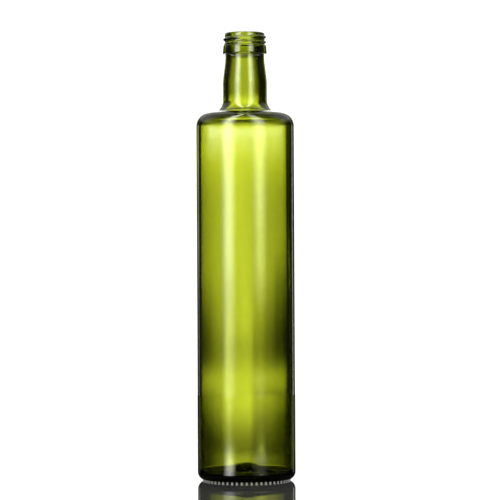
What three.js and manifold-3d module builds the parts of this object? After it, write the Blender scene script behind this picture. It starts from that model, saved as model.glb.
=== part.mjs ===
// An empty 750 ml olive oil bottle of green glass, without its cap: a tall cylinder with a rounded
// shoulder, a short tapered neck and a screw finish. It is blown in one piece, so it is one solid: a
// hollow body of revolution, open at the mouth, with the thread and the base knurls fused on.
// Millimetres, +Z up, origin on the table under the middle of the base.
import * as THREE from "three";
import { mergeVertices } from "three/addons/utils/BufferGeometryUtils.js";
import Module from "manifold-3d";

// Driving dimensions. The body's width, the height and the thread's outer diameter set the rest.
const HEIGHT = 315;
const BODY_RADIUS = 34.4;
const WALL = 3;
const ROUND_SEGMENTS = 56;

// Base: a knurled ring to stand on, a rounded heel, and a push-up that lifts the middle of the floor.
const KNURL_COUNT = ROUND_SEGMENTS;
const KNURL_HEIGHT = 0.4;
const KNURL_LENGTH = 3.6;
const KNURL_TIP_WIDTH = 1.1;
const KNURL_ROOT_WIDTH = 1.9;
const KNURL_SUNK = 0.8;
const KNURL_OUTER_RADIUS = 29.5;
const HEEL_RADIUS = 5.6;
const PUNT_RADIUS = 24.6;
const PUNT_HEIGHT = 7.6;
const FLOOR_THICKNESS = 4.1;
const DOME_RADIUS = 25.4;
const DOME_HEIGHT = 12.2;
const DOME_FULLNESS = 1.25;
const INNER_HEEL_RADIUS = 4.5;

// Shoulder and neck. The shoulder's round and the neck's fillet both end where the glass is level.
const SHOULDER_TOP = 258.7;
const SHOULDER_ROUND = 9.7;
const NECK_FILLET = 8.5;
const NECK_RADIUS = 15.45;
const NECK_TAPER_BOTTOM = 279.5;
const NECK_TAPER_TOP = 297.5;
const NECK_TOP_RADIUS = 13.6;

// Finish: the bead that the cap's band is rolled under, the thread's root and the rounded rim.
const BEAD_BOTTOM = 299.8;
const BEAD_TOP = 306.2;
const BEAD_LOWER_RADIUS = 15.5;
const BEAD_UPPER_RADIUS = 15.05;
const BEAD_EDGE = 0.3;
const BEAD_TOP_ROUND = 0.7;
const THREAD_ROOT_RADIUS = 14;
const RIM_OUTER_ROUND = 1.4;
const RIM_INNER_ROUND = 0.9;
const BORE_RADIUS = 10;
const BORE_BOTTOM = 297.5;

// Thread: right-handed, a round ridge that sinks into the wall at its upper end and runs into the
// bead at its lower end. A turn of 0 is at +X.
const THREAD_CREST_RADIUS = 15.2;
const THREAD_RIDGE_RADIUS = 1.05;
const THREAD_PITCH = 3.6;
const THREAD_HEIGHT_AT_TURN_0 = 311.9;
const THREAD_FIRST_TURN = -545 / 360;
const THREAD_LAST_TURN = 55 / 360;
const THREAD_FADE_TURNS = 1 / 12;
const THREAD_STEPS = 72;
const THREAD_SIDES = 8;

const point = (radius, height) => new THREE.Vector2(radius, height);

// Points along an arc. Angle 0 points away from the bottle's axis and 90 degrees points up.
function arc(centreRadius, centreHeight, radius, fromDegrees, toDegrees, steps) {
  return Array.from({ length: steps + 1 }, (_, i) => {
    const degrees = THREE.MathUtils.lerp(fromDegrees, toDegrees, i / steps);
    const angle = THREE.MathUtils.degToRad(degrees);
    return point(
      centreRadius + radius * Math.cos(angle),
      centreHeight + radius * Math.sin(angle),
    );
  });
}

// Points of a dome from its top on the axis to its edge, where it runs out level.
function dome(edgeRadius, edgeHeight, topHeight, steps) {
  return Array.from({ length: steps + 1 }, (_, i) => {
    const share = i / steps;
    const rise = (1 - share * share) ** DOME_FULLNESS;
    return point(
      edgeRadius * share,
      edgeHeight + (topHeight - edgeHeight) * rise,
    );
  });
}

// Points of a neck that narrows upwards between two heights, with no corner at either end.
function taper(lowRadius, lowHeight, highRadius, highHeight, steps) {
  const reach = (highHeight - lowHeight) / 5;
  return new THREE.CubicBezierCurve(
    point(lowRadius, lowHeight),
    point(lowRadius, lowHeight + reach),
    point(highRadius, highHeight - reach),
    point(highRadius, highHeight),
  ).getPoints(steps);
}

// The outside, from under the middle of the base to the top of the rim.
function outsideProfile() {
  const heelCentre = BODY_RADIUS - HEEL_RADIUS;
  const roundCentre = BODY_RADIUS - SHOULDER_ROUND;
  const filletCentre = NECK_RADIUS + NECK_FILLET;
  const beadCorner = BEAD_UPPER_RADIUS - BEAD_TOP_ROUND;
  const rimCorner = THREAD_ROOT_RADIUS - RIM_OUTER_ROUND;
  return [
    ...dome(PUNT_RADIUS, KNURL_HEIGHT, PUNT_HEIGHT, 5),
    ...arc(heelCentre, KNURL_HEIGHT + HEEL_RADIUS, HEEL_RADIUS, -90, 0, 6),
    ...arc(roundCentre, SHOULDER_TOP - SHOULDER_ROUND, SHOULDER_ROUND, 0, 90, 8),
    ...arc(filletCentre, SHOULDER_TOP + NECK_FILLET, NECK_FILLET, 270, 180, 6),
    ...taper(NECK_RADIUS, NECK_TAPER_BOTTOM, NECK_TOP_RADIUS, NECK_TAPER_TOP, 4),
    point(NECK_TOP_RADIUS, BEAD_BOTTOM),
    point(BEAD_LOWER_RADIUS - BEAD_EDGE, BEAD_BOTTOM),
    point(BEAD_LOWER_RADIUS, BEAD_BOTTOM + BEAD_EDGE),
    ...arc(beadCorner, BEAD_TOP - BEAD_TOP_ROUND, BEAD_TOP_ROUND, 0, 90, 2),
    point(THREAD_ROOT_RADIUS, BEAD_TOP + 0.1),
    ...arc(rimCorner, HEIGHT - RIM_OUTER_ROUND, RIM_OUTER_ROUND, 0, 90, 4),
  ];
}

// The inside, from the rim down to the middle of the floor, a wall's thickness in from the outside.
function insideProfile() {
  const roundCentre = BODY_RADIUS - SHOULDER_ROUND;
  const filletCentre = NECK_RADIUS + NECK_FILLET;
  const floor = KNURL_HEIGHT + FLOOR_THICKNESS;
  const heelCentre = BODY_RADIUS - WALL - INNER_HEEL_RADIUS;
  const rimCorner = BORE_RADIUS + RIM_INNER_ROUND;
  const narrowing = taper(NECK_RADIUS - WALL, NECK_TAPER_BOTTOM, BORE_RADIUS, BORE_BOTTOM, 4);
  return [
    ...arc(rimCorner, HEIGHT - RIM_INNER_ROUND, RIM_INNER_ROUND, 90, 180, 3),
    ...narrowing.reverse(),
    ...arc(filletCentre, SHOULDER_TOP + NECK_FILLET, NECK_FILLET + WALL, 180, 270, 6),
    ...arc(roundCentre, SHOULDER_TOP - SHOULDER_ROUND, SHOULDER_ROUND - WALL, 90, 0, 6),
    ...arc(heelCentre, floor + INNER_HEEL_RADIUS, INNER_HEEL_RADIUS, 0, -90, 5),
    ...dome(DOME_RADIUS, floor, DOME_HEIGHT, 5).reverse(),
  ];
}

// The thread's centre line: a helix whose radius shrinks at both ends until the ridge is in the wall.
class ThreadPath extends THREE.Curve {
  getPoint(t, target = new THREE.Vector3()) {
    const turns = THREE.MathUtils.lerp(THREAD_FIRST_TURN, THREAD_LAST_TURN, t);
    const toEnd = Math.min(turns - THREAD_FIRST_TURN, THREAD_LAST_TURN - turns);
    const sunk = 1 - THREE.MathUtils.smoothstep(toEnd, 0, THREAD_FADE_TURNS);
    const radius = THREAD_CREST_RADIUS - THREAD_RIDGE_RADIUS * (1 + 1.5 * sunk);
    const angle = 2 * Math.PI * turns;
    return target.set(
      radius * Math.cos(angle),
      radius * Math.sin(angle),
      THREAD_HEIGHT_AT_TURN_0 + THREAD_PITCH * turns,
    );
  }
}

function threadGeometry() {
  const section = Array.from({ length: THREAD_SIDES }, (_, i) => {
    const angle = (2 * Math.PI * i) / THREAD_SIDES;
    return point(
      THREAD_RIDGE_RADIUS * Math.cos(angle),
      THREAD_RIDGE_RADIUS * Math.sin(angle),
    );
  });
  return new THREE.ExtrudeGeometry(new THREE.Shape(section), {
    steps: THREAD_STEPS,
    bevelEnabled: false,
    extrudePath: new ThreadPath(),
  });
}

// One radial bar of the knurled ring: a trapezoid with a flat tip, standing down from the base.
function knurlGeometry(turn) {
  const section = new THREE.Shape([
    point(-KNURL_TIP_WIDTH / 2, 0),
    point(KNURL_TIP_WIDTH / 2, 0),
    point(KNURL_ROOT_WIDTH / 2, KNURL_HEIGHT + KNURL_SUNK),
    point(-KNURL_ROOT_WIDTH / 2, KNURL_HEIGHT + KNURL_SUNK),
  ]);
  return new THREE.ExtrudeGeometry(section, {
    depth: KNURL_LENGTH,
    bevelEnabled: false,
  })
    .rotateX(Math.PI / 2)
    .translate(0, KNURL_OUTER_RADIUS, 0)
    .rotateZ(2 * Math.PI * turn);
}

const wasm = await Module();
wasm.setup();

// A closed geometry as a solid, with its shared vertices merged.
function solid(geometry) {
  const bare = new THREE.BufferGeometry()
    .setAttribute("position", geometry.getAttribute("position"))
    .setIndex(geometry.index);
  const merged = mergeVertices(bare, 1e-3);
  return new wasm.Manifold(
    new wasm.Mesh({
      numProp: 3,
      vertProperties: merged.attributes.position.array,
      triVerts: new Uint32Array(merged.index.array),
    }),
  );
}

function geometryOf(body) {
  const mesh = body.getMesh();
  const geometry = new THREE.BufferGeometry()
    .setAttribute(
      "position",
      new THREE.BufferAttribute(new Float32Array(mesh.vertProperties), 3),
    )
    .setIndex(new THREE.BufferAttribute(new Uint32Array(mesh.triVerts), 1));
  geometry.computeVertexNormals();
  return geometry;
}

// The blown body with its thread and knurls. Each knurl lies under the middle of one facet.
function bottleGeometry() {
  const profile = [...outsideProfile(), ...insideProfile()];
  const blown = new THREE.LatheGeometry(profile, ROUND_SEGMENTS);
  let bottle = solid(blown.rotateX(Math.PI / 2)).add(solid(threadGeometry()));
  for (let i = 0; i < KNURL_COUNT; i++)
    bottle = bottle.add(solid(knurlGeometry((i + 0.5) / KNURL_COUNT)));
  return geometryOf(bottle);
}

const greenGlass = new THREE.MeshStandardMaterial({
  color: 0x93a51c,
  roughness: 0.04,
  metalness: 0,
  transparent: true,
  opacity: 0.6,
});

const bottle = new THREE.Mesh(bottleGeometry(), greenGlass);
bottle.name = "bottle";

const group = new THREE.Group();
group.add(bottle);

export default group;
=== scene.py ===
"""An empty green glass bottle for olive oil, standing on a glossy white table in a light tent.

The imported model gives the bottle's place and size. The piece made here is the same bottle with a
finer surface: round, with its thread, knurled base and the slight waves of blown glass.
Lengths are in metres. +Z is up and the photograph looks along +Y.
"""

import math

import bpy
import numpy as np
from mathutils import Euler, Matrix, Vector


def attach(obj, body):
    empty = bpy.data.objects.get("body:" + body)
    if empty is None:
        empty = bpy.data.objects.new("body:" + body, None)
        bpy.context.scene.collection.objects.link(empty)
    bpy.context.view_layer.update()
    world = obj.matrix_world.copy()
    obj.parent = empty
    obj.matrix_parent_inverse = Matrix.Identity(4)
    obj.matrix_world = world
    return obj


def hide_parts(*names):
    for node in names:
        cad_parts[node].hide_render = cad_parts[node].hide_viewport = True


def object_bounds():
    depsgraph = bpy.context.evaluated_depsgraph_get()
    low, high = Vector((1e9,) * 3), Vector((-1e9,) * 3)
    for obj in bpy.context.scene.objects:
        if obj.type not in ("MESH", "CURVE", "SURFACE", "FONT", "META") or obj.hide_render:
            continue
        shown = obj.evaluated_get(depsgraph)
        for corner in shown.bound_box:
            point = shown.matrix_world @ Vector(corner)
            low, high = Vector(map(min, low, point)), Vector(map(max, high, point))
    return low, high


MM = 0.001

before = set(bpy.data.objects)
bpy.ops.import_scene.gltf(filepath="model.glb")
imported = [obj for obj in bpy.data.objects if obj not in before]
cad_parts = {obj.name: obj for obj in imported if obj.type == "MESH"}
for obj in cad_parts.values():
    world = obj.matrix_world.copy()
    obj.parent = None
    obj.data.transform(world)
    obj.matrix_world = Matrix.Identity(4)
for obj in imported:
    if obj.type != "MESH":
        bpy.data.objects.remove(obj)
cad_low, cad_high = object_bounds()

# Sizes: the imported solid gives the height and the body's width, and the rest are the source's.
HEIGHT = cad_high.z
BODY_RADIUS = cad_high.x
WALL = 3.0 * MM
# How far the nearest rings of points are from the ends of the straight wall.
WALL_END_RING = 10.6 * MM

KNURL_COUNT = 56
KNURL_HEIGHT = 0.4 * MM
KNURL_INNER_RADIUS = 25.9 * MM
KNURL_OUTER_RADIUS = 31.2 * MM
KNURL_TALLEST = 1.5 * MM
HEEL_RADIUS = 5.6 * MM
PUNT_RADIUS = 24.6 * MM
PUNT_HEIGHT = 7.6 * MM
FLOOR_THICKNESS = 4.1 * MM
DOME_RADIUS = 20.5 * MM
DOME_HEIGHT = 12.4 * MM
DOME_FULLNESS = 1.25
INNER_HEEL_RADIUS = 4.0 * MM

SHOULDER_TOP = 258.7 * MM
SHOULDER_ROUND = 9.7 * MM
NECK_FILLET = 8.5 * MM
NECK_RADIUS = 15.45 * MM
NECK_TAPER_BOTTOM = 279.5 * MM
NECK_TAPER_TOP = 297.5 * MM
NECK_TOP_RADIUS = 13.6 * MM

BEAD_BOTTOM = 299.8 * MM
BEAD_TOP = 306.2 * MM
BEAD_LOWER_RADIUS = 15.5 * MM
BEAD_UPPER_RADIUS = 15.05 * MM
BEAD_EDGE = 0.85 * MM
BEAD_CORNER = 0.3 * MM
BEAD_TOP_ROUND = 0.7 * MM
THREAD_ROOT_RADIUS = 14.0 * MM
RIM_OUTER_ROUND = 1.4 * MM
RIM_INNER_ROUND = 0.9 * MM
BORE_RADIUS = 10.0 * MM
NECK_BORE_LOWER_RADIUS = 12.1 * MM
NECK_BORE_UPPER_RADIUS = 10.4 * MM

THREAD_CREST_RADIUS = 15.2 * MM
THREAD_HALF_WIDTH = 1.3 * MM
THREAD_PITCH = 3.6 * MM
THREAD_HEIGHT_AT_TURN_0 = 311.9 * MM
THREAD_FIRST_TURN = -545 / 360
THREAD_LAST_TURN = 55 / 360
THREAD_FADE_TURNS = 1 / 12

# Points round the bottle, six to each bar of the base.
AROUND = KNURL_COUNT * 6


def smoothstep(low, high, x):
    """0 below low, 1 above high, and 3t^2 - 2t^3 of the way t between them."""
    t = np.clip((x - low) / (high - low), 0.0, 1.0)
    return t * t * (3.0 - 2.0 * t)


# The bottle's half outline, as arrays of (radius, height) from pole to pole.


def arc(centre_radius, centre_height, radius, start, end, steps, width=1.0):
    """Ellipse: centre + radius * (width * cos a, sin a), for steps + 1 even angles in degrees."""
    a = np.radians(np.linspace(start, end, steps + 1))
    across, up = radius * width * np.cos(a), radius * np.sin(a)
    return np.stack([centre_radius + across, centre_height + up], axis=1)


def dome(edge_radius, edge_height, top_height, steps):
    """Height = edge + (top - edge) * (1 - s^2)^fullness, at radius s * edge_radius."""
    s = np.linspace(0.0, 1.0, steps + 1)
    rise = (top_height - edge_height) * (1.0 - s * s) ** DOME_FULLNESS
    return np.stack([edge_radius * s, edge_height + rise], axis=1)


def taper(low_radius, low_height, high_radius, high_height, steps):
    """Cubic Bezier curve that leaves both ends straight up, each handle a fifth of the height."""
    t = np.linspace(0.0, 1.0, steps + 1)[:, None]
    reach = (high_height - low_height) / 5.0
    points = np.array(
        [
            (low_radius, low_height),
            (low_radius, low_height + reach),
            (high_radius, high_height - reach),
            (high_radius, high_height),
        ]
    )
    weights = np.hstack(
        [(1 - t) ** 3, 3 * t * (1 - t) ** 2, 3 * t * t * (1 - t), t**3]
    )
    return weights @ points


def straight(start, end, steps):
    """Even points strictly between start and end."""
    t = np.linspace(0.0, 1.0, steps + 2)[1:-1, None]
    return np.array(start) * (1 - t) + np.array(end) * t


def outside():
    """From under the middle of the base, round the heel, up the wall and neck, to the rim's top."""
    heel_centre = BODY_RADIUS - HEEL_RADIUS
    round_centre = BODY_RADIUS - SHOULDER_ROUND
    round_height = SHOULDER_TOP - SHOULDER_ROUND
    fillet_centre = NECK_RADIUS + NECK_FILLET
    bead_corner = BEAD_UPPER_RADIUS - BEAD_TOP_ROUND
    rim_corner = THREAD_ROOT_RADIUS - RIM_OUTER_ROUND
    heel_top = KNURL_HEIGHT + HEEL_RADIUS
    return np.concatenate(
        [
            dome(PUNT_RADIUS, KNURL_HEIGHT, PUNT_HEIGHT, 16),
            straight((PUNT_RADIUS, KNURL_HEIGHT), (heel_centre, KNURL_HEIGHT), 9),
            arc(heel_centre, heel_top, HEEL_RADIUS, -90, 0, 32),
            np.array(
                [
                    (BODY_RADIUS, heel_top + WALL_END_RING),
                    (BODY_RADIUS, round_height - WALL_END_RING),
                ]
            ),
            arc(round_centre, round_height, SHOULDER_ROUND, 0, 90, 16),
            arc(fillet_centre, SHOULDER_TOP + NECK_FILLET, NECK_FILLET, 270, 180, 14),
            taper(NECK_RADIUS, NECK_TAPER_BOTTOM, NECK_TOP_RADIUS, NECK_TAPER_TOP, 12),
            arc(NECK_TOP_RADIUS + BEAD_CORNER, BEAD_BOTTOM - BEAD_CORNER, BEAD_CORNER, 180, 90, 3),
            arc(BEAD_LOWER_RADIUS - BEAD_EDGE, BEAD_BOTTOM + BEAD_EDGE, BEAD_EDGE, -90, 0, 6),
            straight(
                (BEAD_LOWER_RADIUS, BEAD_BOTTOM + BEAD_EDGE),
                (BEAD_UPPER_RADIUS, BEAD_TOP - BEAD_TOP_ROUND),
                4,
            ),
            arc(bead_corner, BEAD_TOP - BEAD_TOP_ROUND, BEAD_TOP_ROUND, 0, 90, 5),
            straight(
                (THREAD_ROOT_RADIUS, BEAD_TOP),
                (THREAD_ROOT_RADIUS, HEIGHT - RIM_OUTER_ROUND),
                32,
            ),
            arc(rim_corner, HEIGHT - RIM_OUTER_ROUND, RIM_OUTER_ROUND, 0, 90, 8),
        ]
    )


def inside():
    """From the rim, down the bore and the wall's inside, to the middle of the domed floor."""
    wall = BODY_RADIUS - WALL
    floor = KNURL_HEIGHT + FLOOR_THICKNESS
    heel_centre = wall - INNER_HEEL_RADIUS
    heel_top = floor + INNER_HEEL_RADIUS
    rim_corner = BORE_RADIUS + RIM_INNER_ROUND
    low_bore, high_bore = NECK_BORE_LOWER_RADIUS, NECK_BORE_UPPER_RADIUS
    narrowing = taper(low_bore, NECK_TAPER_BOTTOM, high_bore, NECK_TAPER_TOP, 12)
    round_centre = BODY_RADIUS - SHOULDER_ROUND
    round_height = SHOULDER_TOP - SHOULDER_ROUND
    fillet_centre = NECK_RADIUS + NECK_FILLET
    fillet_height = SHOULDER_TOP + NECK_FILLET
    fillet_width = (fillet_centre - low_bore) / (NECK_FILLET + WALL)
    return np.concatenate(
        [
            arc(rim_corner, HEIGHT - RIM_INNER_ROUND, RIM_INNER_ROUND, 90, 180, 6),
            straight((BORE_RADIUS, HEIGHT - RIM_INNER_ROUND), (BORE_RADIUS, BEAD_TOP), 3),
            straight((BORE_RADIUS, BEAD_TOP), (high_bore, BEAD_BOTTOM), 5),
            narrowing[::-1],
            arc(fillet_centre, fillet_height, NECK_FILLET + WALL, 180, 270, 24, fillet_width),
            arc(round_centre, round_height, SHOULDER_ROUND - WALL, 90, 0, 16),
            straight((wall, round_height), (wall, heel_top), 24),
            arc(heel_centre, heel_top, INNER_HEEL_RADIUS, 0, -90, 14),
            straight((heel_centre, floor), (DOME_RADIUS, floor), 5),
            dome(DOME_RADIUS, floor, DOME_HEIGHT, 16)[::-1],
        ]
    )


# Relief on the outline, each a function of the angle round the bottle and the place on it.


def thread(angle, height):
    """How far the screw thread stands out: a rounded ridge about a helix, faded at both ends."""
    stand = np.zeros(np.broadcast(angle, height).shape)
    for whole_turns in (-2, -1, 0):
        turns = angle / math.tau + whole_turns
        away = (height - THREAD_HEIGHT_AT_TURN_0 - THREAD_PITCH * turns) / THREAD_HALF_WIDTH
        ridge = np.clip(1.0 - away * away, 0.0, 1.0) ** 1.5
        to_end = np.minimum(turns - THREAD_FIRST_TURN, THREAD_LAST_TURN - turns)
        fade = smoothstep(0.0, THREAD_FADE_TURNS, to_end)
        stand = np.maximum(stand, ridge * fade)
    return stand * (THREAD_CREST_RADIUS - THREAD_ROOT_RADIUS)


def knurls(angle, radius):
    """Share of the way down to the table: a cosine round the ring, flat along each bar."""
    bar = (0.5 + 0.5 * np.cos(KNURL_COUNT * angle)) ** 1.4
    along = smoothstep(KNURL_INNER_RADIUS - 0.5 * MM, KNURL_INNER_RADIUS + 0.5 * MM, radius)
    along = along * smoothstep(KNURL_OUTER_RADIUS, KNURL_OUTER_RADIUS - 0.4 * MM, radius)
    return bar * along


def blown_waves(angle, height):
    """Uneven thickness of a blown wall: cosines round the bottle that drift with height."""
    largest = 0.09 * MM
    long_drift, short_drift = 90 * MM, 35 * MM
    waves = np.zeros(np.broadcast(angle, height).shape)
    chance = np.random.default_rng(21)
    for count in (1, 2, 3, 5, 7, 9, 13, 17, 22, 29):
        phase, drift, swell = chance.uniform(0.0, math.tau, 3)
        slide = 1.3 * np.sin(height / long_drift + drift)
        slide = slide + 0.6 * np.sin(height / short_drift + swell)
        waves = waves + largest / count * np.cos(count * angle + phase + slide)
    return waves


def bottle_surface():
    """Revolution of the half outline: (r cos a, r sin a, z), with the relief added to r and z."""
    outer, inner = outside(), inside()
    outline = np.concatenate([outer, inner])[1:-1]
    is_outer = (np.arange(len(outline)) < len(outer) - 1)[:, None]
    radius, height = outline[:, :1], outline[:, 1:]
    angle = np.linspace(0.0, math.tau, AROUND, endpoint=False)[None, :]

    on_thread = is_outer & (height > BEAD_TOP - BEAD_TOP_ROUND)
    ridge = thread(angle, height) * on_thread
    ridge = np.maximum(ridge - np.clip(radius - THREAD_ROOT_RADIUS, 0.0, None), 0.0)
    under_base = is_outer & (height < KNURL_TALLEST)
    down = height * knurls(angle, radius) * under_base
    above_floor = smoothstep(14 * MM, 30 * MM, height)
    below_shoulder = smoothstep(252 * MM, 235 * MM, height)
    inward = blown_waves(angle, height) * ~is_outer * above_floor * below_shoulder

    r = radius + ridge + inward
    z = np.broadcast_to(height, r.shape) - down
    ring = np.stack([r * np.cos(angle), r * np.sin(angle), z], axis=-1).reshape(-1, 3)
    poles = np.array([(0.0, 0.0, PUNT_HEIGHT), (0.0, 0.0, DOME_HEIGHT)])
    return np.concatenate([ring, poles]), len(outline)


def bottle_faces(rows):
    """Quads between neighbouring rings, and a fan of triangles at each pole, facing outwards."""
    i = np.arange(AROUND)
    j = (i + 1) % AROUND
    row = np.arange(rows - 1)[:, None] * AROUND
    quads = np.stack([row + i, row + j, row + AROUND + j, row + AROUND + i], axis=-1)
    under, floor = rows * AROUND, rows * AROUND + 1
    last = (rows - 1) * AROUND
    first_fan = np.stack([np.full(AROUND, under), j, i], axis=-1)
    last_fan = np.stack([np.full(AROUND, floor), last + i, last + j], axis=-1)
    return quads.reshape(-1, 4).tolist() + first_fan.tolist() + last_fan.tolist()


def is_knurl_end(points, faces):
    """Whether each face is one of the quads at the outer end of the base's bars.

    A face is at an end by the radius and the height of the middle of its corners.
    """
    end_length, end_height = 0.6 * MM, 0.7 * MM
    quads = np.array([len(face) == 4 for face in faces])
    corners = np.array([face for face in faces if len(face) == 4])
    middle = points[corners].mean(axis=1)
    radius = np.hypot(middle[:, 0], middle[:, 1])
    at_end = (radius > KNURL_OUTER_RADIUS - end_length) & (radius < KNURL_OUTER_RADIUS)
    quads[quads] = at_end & (middle[:, 2] < end_height)
    return quads


def make_piece(name, points, faces, material):
    mesh = bpy.data.meshes.new(name)
    mesh.from_pydata(points, [], faces)
    mesh.polygons.foreach_set("use_smooth", np.ones(len(mesh.polygons), dtype=bool))
    mesh.materials.append(material)
    mesh.update()
    piece = bpy.data.objects.new(name, mesh)
    bpy.context.scene.collection.objects.link(piece)
    return piece


# Materials.


def add(tree, kind, inputs=(), **settings):
    """Adds a node, sets its properties, and fills its inputs with values or other nodes' outputs."""
    node = tree.nodes.new(kind)
    for name, value in settings.items():
        setattr(node, name, value)
    for name, value in dict(inputs).items():
        if isinstance(value, bpy.types.NodeSocket):
            tree.links.new(value, node.inputs[name])
        else:
            node.inputs[name].default_value = value
    return node


def empty_material(name):
    material = bpy.data.materials.new(name)
    material.use_nodes = True
    material.node_tree.nodes.clear()
    return material, material.node_tree


def green_bottle_glass():
    """Soda-lime glass coloured with iron and chromium, blown in a polished mould.

    Its colour is all in its depth: red and green pass better than blue, so it is yellow-green where
    the wall is thin, and almost black where one looks along the wall or through the thick base.
    """
    # What is left of red, green and blue after 6 mm, the two walls of the body.
    left_after_two_walls = np.array([0.40, 0.46, 0.022])
    fading = -np.log(left_after_two_walls) / (6.0 * MM)
    density = float(fading.max()) * 1.05
    material, tree = empty_material("green_bottle_glass")
    surface = add(
        tree,
        "ShaderNodeBsdfPrincipled",
        {
            "Base Color": (1.0, 1.0, 1.0, 1.0),
            "Roughness": 0.0,
            "IOR": 1.52,
            "Transmission Weight": 1.0,
        },
    )
    depth = add(
        tree,
        "ShaderNodeVolumeAbsorption",
        {"Color": (*(1.0 - fading / density), 1.0), "Density": density},
    )
    add(
        tree,
        "ShaderNodeOutputMaterial",
        {"Surface": surface.outputs[0], "Volume": depth.outputs[0]},
    )
    return material


def painted_glint_glass():
    """A matt white on the outer ends of the base's bars: a painted highlight, standing in for their
    glints.
    """
    painted_glint_white = (0.9, 0.9, 0.88, 1.0)
    material, tree = empty_material("painted_glint_glass")
    surface = add(tree, "ShaderNodeBsdfDiffuse", {"Color": painted_glint_white})
    add(tree, "ShaderNodeOutputMaterial", {"Surface": surface.outputs[0]})
    return material


points, rows = bottle_surface()
faces = bottle_faces(rows)
bottle = make_piece("glass_bottle", points, faces, green_bottle_glass())
# The outer ends of the base's bars take the matt white of the painted glints.
bottle.data.materials.append(painted_glint_glass())
painted_glint_faces = is_knurl_end(points, faces).astype(np.int32)
bottle.data.polygons.foreach_set("material_index", painted_glint_faces)
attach(bottle, "root")
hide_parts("bottle")

# The table, the light tents and the camera.

TENT_RADIUS = 1.0
TENT_GAP = 0.5 * MM
TABLE_RADIUS = 6.0
WHITENESS = 0.9
SURROUND_STRENGTH = 1.15
# The brightness that the table mirrors straight to the camera.
TABLE_LIGHT = 1.1
# Where the painted shadow under the bottle ends, and the width over which it fades.
CONTACT_RADIUS = BODY_RADIUS - 4 * MM
CONTACT_FADE = 3 * MM


def bump(x, centre, half_width):
    """exp(-((x - centre) / half_width)^2)."""
    return np.exp(-(((x - centre) / half_width) ** 2))


def mix(share, a, b):
    """a + share * (b - a)."""
    return a + share * (b - a)


def strip(degrees, centre, half_width, feather):
    """1 within half_width of centre, falling smoothly to 0 over the feather, round the circle."""
    away = np.abs((degrees - centre + 180.0) % 360.0 - 180.0)
    return smoothstep(half_width + feather, half_width - feather, away)


def backdrop(degrees, openness, brightness, left_edge, streak):
    """Brightness behind the bottle: a lobe about straight behind, wider where openness is 1."""
    left = left_edge + (1.0 - left_edge) / (1.0 + (degrees / 4.1) ** 2)
    right = 0.01 + smoothstep(17.0, 7.0, degrees) / (1.0 + np.abs(degrees) / 1.35)
    left = left + streak * bump(degrees, -2.6, 0.8)
    wide_left = mix(smoothstep(-22.0, -34.0, degrees), 1.0, 0.1)
    wide_right = mix(smoothstep(9.0, 17.0, degrees), 1.0, 0.05)
    narrow = np.where(degrees < 0.0, left, right)
    wide = np.where(degrees < 0.0, wide_left, wide_right)
    lobe = mix(np.clip(openness, 0.0, 1.0), narrow, wide)
    to_next = degrees - 45.0 * np.round(degrees / 45.0)
    others = 0.3 + 0.7 / (1.0 + (to_next / 7.0) ** 2)
    return brightness * mix(smoothstep(34.0, 42.0, np.abs(degrees)), lobe, others)


def strips(degrees, left_power, right_power, left_half_width=12.0):
    """Two tall soft lights on the camera's side, that show as the long vertical highlights."""
    left = left_power * strip(degrees, -139.5, left_half_width, 9.0)
    right = right_power * strip(degrees, 147.0, 11.5, 11.5)
    return left + right


def strip_powers(height):
    """Both strips are brighter at the top than low down."""
    high_up = 0.7 * smoothstep(0.24, 0.30, height) + 2.5 * smoothstep(0.375, 0.39, height)
    left_power = 2.4 + 4.0 * smoothstep(0.05, 0.19, height) + high_up
    right_power = 0.6 * smoothstep(0.036, 0.02, height) + 2.3 * smoothstep(0.08, 0.16, height)
    right_power = right_power + 1.4 * smoothstep(0.17, 0.22, height) + high_up
    return left_power, right_power


def backdrop_brightness(height):
    """Brightest high up, with a dark band low down and a bright one at the table."""
    return (
        1.6
        + 0.5 * bump(height, 0.295, 0.045)
        - 0.35 * smoothstep(0.31, 0.35, height)
        - 0.25 * bump(height, 0.330, 0.010)
        - 0.45 * bump(height, 0.050, 0.022)
        + 0.12 * bump(height, 0.010, 0.020)
    )


def light_through_bottle(degrees, height):
    """The backdrop as it shows straight through the bottle."""
    openness = (
        0.52 * smoothstep(0.065, 0.155, height)
        + 0.48 * smoothstep(0.21, 0.30, height)
        + 0.5 * bump(height, 0.017, 0.017)
        - 0.15 * bump(height, 0.312, 0.008)
    )
    low_down = smoothstep(0.02, 0.06, height) * smoothstep(0.175, 0.12, height)
    low_right = low_down * smoothstep(3.0, 9.0, degrees)
    brightness = backdrop_brightness(height) * (1.0 - 0.45 * low_right)
    streak = 0.4 * smoothstep(0.12, 0.05, height)
    behind_body = backdrop(degrees, openness, brightness, 0.07, streak)
    left = 1.0 / (1.0 + (degrees / 15.0) ** 2)
    right = 1.0 / (1.0 + (degrees / 8.2) ** 4)
    sides = 0.5 * smoothstep(70.0, 85.0, np.abs(degrees))
    lobe = np.where(degrees < 0.0, left, right) * smoothstep(60.0, 45.0, np.abs(degrees)) + sides
    lobe = lobe * (1.12 - 0.85 * bump(height, 0.398, 0.013))
    lobe = lobe * mix(smoothstep(0.405, 0.415, height), 1.0, 0.4)
    lobe = lobe * mix(smoothstep(0.50, 0.58, height), 1.0, 0.1)
    behind = mix(smoothstep(0.315, 0.332, height), behind_body, lobe)
    return behind + strips(degrees, *strip_powers(height))


def light_inside_glass(degrees, height):
    """What comes by reflections inside the glass: a narrow backdrop, the strips, else dark."""
    behind = backdrop_brightness(height) * mix(smoothstep(3.0, 12.0, np.abs(degrees)), 1.0, 0.02)
    behind = behind * mix(smoothstep(0.14, 0.20, height), 1.0, 0.1)
    behind = behind * mix(smoothstep(0.112, 0.124, height), 0.2, 1.0)
    return behind + strips(degrees, *strip_powers(height))


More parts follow.
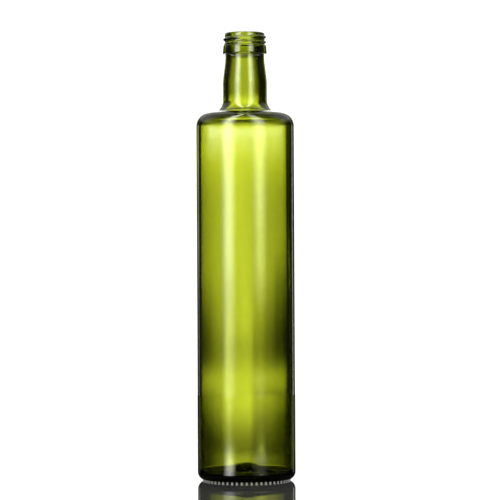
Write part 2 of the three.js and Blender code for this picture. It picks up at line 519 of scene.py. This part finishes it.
def light_along_edges(degrees, height):
    """What comes through the wall's edge on, at the sides: dark, but a little light on the left."""
    behind = backdrop_brightness(height) * mix(smoothstep(3.0, 12.0, np.abs(degrees)), 1.0, 0.02)
    left_power = 0.35 + 0.3 * smoothstep(0.24, 0.15, height) + 0.8 * smoothstep(0.20, 0.29, height)
    left_power = left_power * smoothstep(0.10, 0.18, height) * smoothstep(0.33, 0.31, height)
    left_edge = left_power * strip(degrees, -23.0, 5.0, 5.0)
    return behind + left_edge + strips(degrees, *strip_powers(height))


def edge_lights(degrees):
    """Two thin lights behind the bottle's sides, that draw its edges."""
    return 0.8 * strip(degrees, 36.0, 4.0, 3.0) + 0.3 * strip(degrees, -34.0, 5.0, 4.0)


def light_on_bottle(degrees, height):
    """What the outside reflects: the strips, the edge lights, a glow above and a veil high up."""
    behind = mix(smoothstep(6.0, 14.0, np.abs(degrees)), 1.6, 0.0)
    edges = edge_lights(degrees) * mix(smoothstep(0.31, 0.34, height), 1.0, 0.25)
    behind_half = smoothstep(100.0, 70.0, np.abs(degrees))
    above = 0.012 + 0.6 * smoothstep(0.45, 0.60, height) * behind_half
    veil = 3.6 * smoothstep(0.25, 0.31, height) * smoothstep(0.335, 0.315, height)
    veil = veil * (0.95 - 0.35 * np.sin(np.radians(degrees))) * (1.0 - behind_half)
    return behind + edges + above + veil + strips(degrees, *strip_powers(height))


def light_through_bottle_by_table(degrees, height):
    """The backdrop as the table mirrors it into the glass: it darkens away from the table."""
    brightness = 1.7 - 1.3 * smoothstep(0.004, 0.060, height)
    brightness = brightness + 0.4 * smoothstep(0.058, 0.078, height)
    brightness = mix(smoothstep(0.12, 0.20, height), brightness, 1.3)
    openness = 0.2 * smoothstep(0.035, 0.0, height) + 0.6 * smoothstep(0.12, 0.20, height)
    streak = 0.4 + 0.4 * smoothstep(0.03, 0.06, height)
    brightness = brightness * (1.0 + 0.3 * bump(degrees, 4.0, 3.0))
    far_left = smoothstep(-3.0, -9.0, degrees) * smoothstep(0.03, 0.06, height)
    brightness = brightness * mix(far_left * smoothstep(0.20, 0.12, height), 1.0, 0.65)
    return backdrop(degrees, openness, brightness, 0.0, streak)


def light_on_bottle_by_table(degrees, height):
    """The strips and the edge lights as the table mirrors them."""
    left_power = 0.7 + 0.9 * smoothstep(0.03, 0.005, height) + 7.0 * smoothstep(0.04, 0.085, height)
    right_power = 0.15 + 0.45 * smoothstep(0.045, 0.06, height) + 1.1 * bump(height, 0.069, 0.007)
    tall_lights = strips(degrees, left_power, right_power, left_half_width=8.5)
    return 0.35 * edge_lights(degrees) + tall_lights


def light_tent(name, radius, lights, material):
    """Upper half of a sphere round the bottle, facing inwards, closest-meshed at the table.

    Points: radius * (cos e sin d, cos e cos d, sin e), where d is the angle from straight behind
    the bottle, to the right. Each of the lights is a brightness at every point.
    """
    e = np.radians(np.concatenate([np.linspace(0, 25, 101), np.linspace(29, 89, 16)]))[:, None]
    degrees = np.linspace(-180.0, 180.0, 720, endpoint=False)[None, :]
    d = np.radians(degrees)
    x, y = radius * np.cos(e) * np.sin(d), radius * np.cos(e) * np.cos(d)
    z = np.broadcast_to(radius * np.sin(e), x.shape)
    points = np.stack([x, y, z], axis=-1).reshape(-1, 3)
    around = degrees.size
    i = np.arange(around)
    j = (i + 1) % around
    row = np.arange(len(e) - 1)[:, None] * around
    quads = np.stack([row + i, row + j, row + around + j, row + around + i], axis=-1)
    tent = make_piece(name, points, quads.reshape(-1, 4).tolist(), material)
    for light_name, light in lights.items():
        brightness = np.broadcast_to(light(degrees, radius * np.sin(e)), x.shape)
        attribute = tent.data.attributes.new(light_name, "FLOAT", "POINT")
        attribute.data.foreach_set("value", brightness.ravel())
    return tent


def shining_cloth(name, quantities, see_through):
    """Emission of the first quantity, or of the last of the others whose light path is met."""
    material, tree = empty_material(name)
    light_path = add(tree, "ShaderNodeLightPath")
    strength = None
    for quantity, path_name, comparison, limit in quantities:
        if isinstance(quantity, str):
            quantity = add(tree, "ShaderNodeAttribute", attribute_name=quantity).outputs["Fac"]
        if strength is None:
            strength = quantity
            continue
        is_met = add(
            tree,
            "ShaderNodeMath",
            {0: light_path.outputs[path_name], 1: limit},
            operation=comparison,
        ).outputs[0]
        strength = add(
            tree,
            "ShaderNodeMix",
            {"Factor": is_met, "A": strength, "B": quantity},
            data_type="FLOAT",
        ).outputs[0]
    surface = add(tree, "ShaderNodeEmission", {"Strength": strength})
    if see_through:
        clear = add(tree, "ShaderNodeBsdfTransparent")
        surface = add(tree, "ShaderNodeAddShader", {0: surface.outputs[0], 1: clear.outputs[0]})
    add(tree, "ShaderNodeOutputMaterial", {"Surface": surface.outputs[0]})
    return material


def glossy_white_table():
    """White acrylic sheet: nearly a mirror at a low angle, and plain white from above.

    Under the bottle it is painted dark, a painted contact shadow. Seen by way of the bottle, its
    white and shine are painted darker near the bottle and full further out, a painted shade, and in
    the bottle's outer reflections its white is painted nearly black.
    """
    material, tree = empty_material("glossy_white_acrylic")
    facing = add(tree, "ShaderNodeLayerWeight", {"Blend": 0.5}).outputs["Facing"]
    mirror_share = add(
        tree,
        "ShaderNodeMapRange",
        {"Value": facing, "From Min": 0.55, "From Max": 0.9, "To Min": 0.05, "To Max": 0.97},
        interpolation_type="SMOOTHSTEP",
    ).outputs[0]
    place = add(tree, "ShaderNodeTexCoord").outputs["Object"]
    from_axis = add(tree, "ShaderNodeVectorMath", {0: place}, operation="LENGTH").outputs["Value"]
    # Painted shade: seen by way of the bottle, the table's white is darker near the bottle.
    painted_shade_by_way_of_bottle = add(
        tree,
        "ShaderNodeMapRange",
        {
            "Value": from_axis,
            "From Min": 0.06,
            "From Max": 0.13,
            "To Min": 0.05,
            "To Max": WHITENESS,
        },
        interpolation_type="SMOOTHSTEP",
    ).outputs[0]
    # Painted shade: away from the camera, the table's shine is darker near the bottle.
    painted_shade_on_shine = add(
        tree,
        "ShaderNodeMapRange",
        {"Value": from_axis, "From Min": 0.045, "From Max": 0.078},
        interpolation_type="SMOOTHSTEP",
    ).outputs[0]
    light_path = add(tree, "ShaderNodeLightPath").outputs
    is_camera_ray = light_path["Is Camera Ray"]
    once_mirrored = add(
        tree, "ShaderNodeMath", {0: light_path["Glossy Depth"], 1: 1.5}, operation="LESS_THAN"
    )
    in_bottle_surface = add(
        tree,
        "ShaderNodeMath",
        {0: once_mirrored.outputs[0], 1: light_path["Is Reflection Ray"]},
        operation="MULTIPLY",
    )
    # Painted shade: in the bottle's outer reflections the table's white is nearly black.
    painted_shade_seen_by_bottle = add(
        tree,
        "ShaderNodeMix",
        {"Factor": in_bottle_surface.outputs[0], "A": painted_shade_by_way_of_bottle, "B": 0.04},
        data_type="FLOAT",
    ).outputs[0]
    plainly = add(
        tree,
        "ShaderNodeMath",
        {0: is_camera_ray, 1: light_path["Is Diffuse Ray"]},
        operation="MAXIMUM",
    ).outputs[0]
    whiteness = add(
        tree,
        "ShaderNodeMix",
        {"Factor": plainly, "A": painted_shade_seen_by_bottle, "B": WHITENESS},
        data_type="FLOAT",
    ).outputs[0]
    shininess = add(
        tree,
        "ShaderNodeMix",
        {"Factor": is_camera_ray, "A": painted_shade_on_shine, "B": 1.0},
        data_type="FLOAT",
    ).outputs[0]
    # Painted contact shadow: the table's white and shine fade to nearly black under the bottle.
    lit = add(
        tree,
        "ShaderNodeMapRange",
        {
            "Value": from_axis,
            "From Min": CONTACT_RADIUS - CONTACT_FADE,
            "From Max": CONTACT_RADIUS,
            "To Min": 0.02,
            "To Max": 1.0,
        },
        interpolation_type="SMOOTHSTEP",
    ).outputs[0]
    white_in_painted_shadow = add(tree, "ShaderNodeMath", {0: whiteness, 1: lit}, operation="MULTIPLY")
    white = add(tree, "ShaderNodeBsdfDiffuse", {"Color": white_in_painted_shadow.outputs[0]})
    shine_in_painted_shadow = add(tree, "ShaderNodeMath", {0: shininess, 1: lit}, operation="MULTIPLY")
    shine = add(
        tree,
        "ShaderNodeBsdfGlossy",
        {"Color": shine_in_painted_shadow.outputs[0], "Roughness": 0.012},
    )
    both = add(
        tree,
        "ShaderNodeMixShader",
        {0: mirror_share, 1: white.outputs[0], 2: shine.outputs[0]},
    )
    add(tree, "ShaderNodeOutputMaterial", {"Surface": both.outputs[0]})
    return material


def disc(name, radius, around, material):
    """A flat round plate at the table's height, as one polygon."""
    a = np.linspace(0.0, math.tau, around, endpoint=False)
    points = np.stack([radius * np.cos(a), radius * np.sin(a), 0 * a], axis=1)
    return make_piece(name, points, [list(range(around))], material)


def light_only(tent, receiver):
    """The tent lights the receiver alone, and neither the camera nor soft light sees it."""
    tent.visible_camera = False
    tent.visible_diffuse = False
    tent.visible_shadow = False
    tent.visible_volume_scatter = False
    tent.data.materials[0].cycles.emission_sampling = "NONE"
    lit = bpy.data.collections.new(f"lit_by_{tent.name}")
    lit.objects.link(receiver)
    tent.light_linking.receiver_collection = lit


table = disc("table", TABLE_RADIUS, 128, glossy_white_table())
bottle_tent = light_tent(
    "bottle_tent",
    TENT_RADIUS,
    {
        "inside": light_inside_glass,
        "edges": light_along_edges,
        "through": light_through_bottle,
        "reflected": light_on_bottle,
    },
    shining_cloth(
        "tent_cloth_round_bottle",
        [
            ("through", None, None, None),
            ("inside", "Glossy Depth", "GREATER_THAN", 0.5),
            ("edges", "Transmission Depth", "LESS_THAN", 2.5),
            ("reflected", "Is Reflection Ray", "GREATER_THAN", 0.5),
        ],
        see_through=False,
    ),
)
table_tent = light_tent(
    "table_tent",
    TENT_RADIUS - TENT_GAP,
    {"through": light_through_bottle_by_table, "reflected": light_on_bottle_by_table},
    shining_cloth(
        "tent_cloth_round_table",
        [
            (TABLE_LIGHT, None, None, None),
            ("reflected", "Ray Depth", "GREATER_THAN", 1.5),
            ("through", "Transmission Depth", "GREATER_THAN", 2.5),
            ("reflected", "Glossy Depth", "GREATER_THAN", 1.5),
        ],
        see_through=True,
    ),
)
light_only(bottle_tent, bottle)
light_only(table_tent, table)


def white_surround():
    """Even white light from everywhere, which is also the white behind the bottle."""
    world = bpy.data.worlds.new("white_surround")
    world.use_nodes = True
    background = world.node_tree.nodes["Background"]
    background.inputs["Color"].default_value = (1.0, 1.0, 1.0, 1.0)
    background.inputs["Strength"].default_value = SURROUND_STRENGTH
    bpy.context.scene.world = world


def photo_camera():
    """A long lens at half the bottle's height, level, turned a little about its own axis."""
    frame_pixels = 500
    focal_pixels = 2400.0
    camera_height = 161.9 * MM
    camera_distance = 1.691
    bottle_left_of_centre_pixels = 4.3
    lean_degrees = 0.27
    data = bpy.data.cameras.new("photo_camera")
    data.sensor_width = 36.0
    data.lens = data.sensor_width * focal_pixels / frame_pixels
    data.clip_start, data.clip_end = 0.01, 100.0
    camera = bpy.data.objects.new("photo_camera", data)
    right = bottle_left_of_centre_pixels * camera_distance / focal_pixels
    camera.location = (right, -camera_distance, camera_height)
    camera.rotation_euler = Euler(
        (math.radians(90), math.radians(lean_degrees), 0.0), "XYZ"
    )
    bpy.context.scene.collection.objects.link(camera)
    bpy.context.scene.camera = camera


white_surround()
photo_camera()
bpy.context.scene.view_settings.view_transform = "Standard"
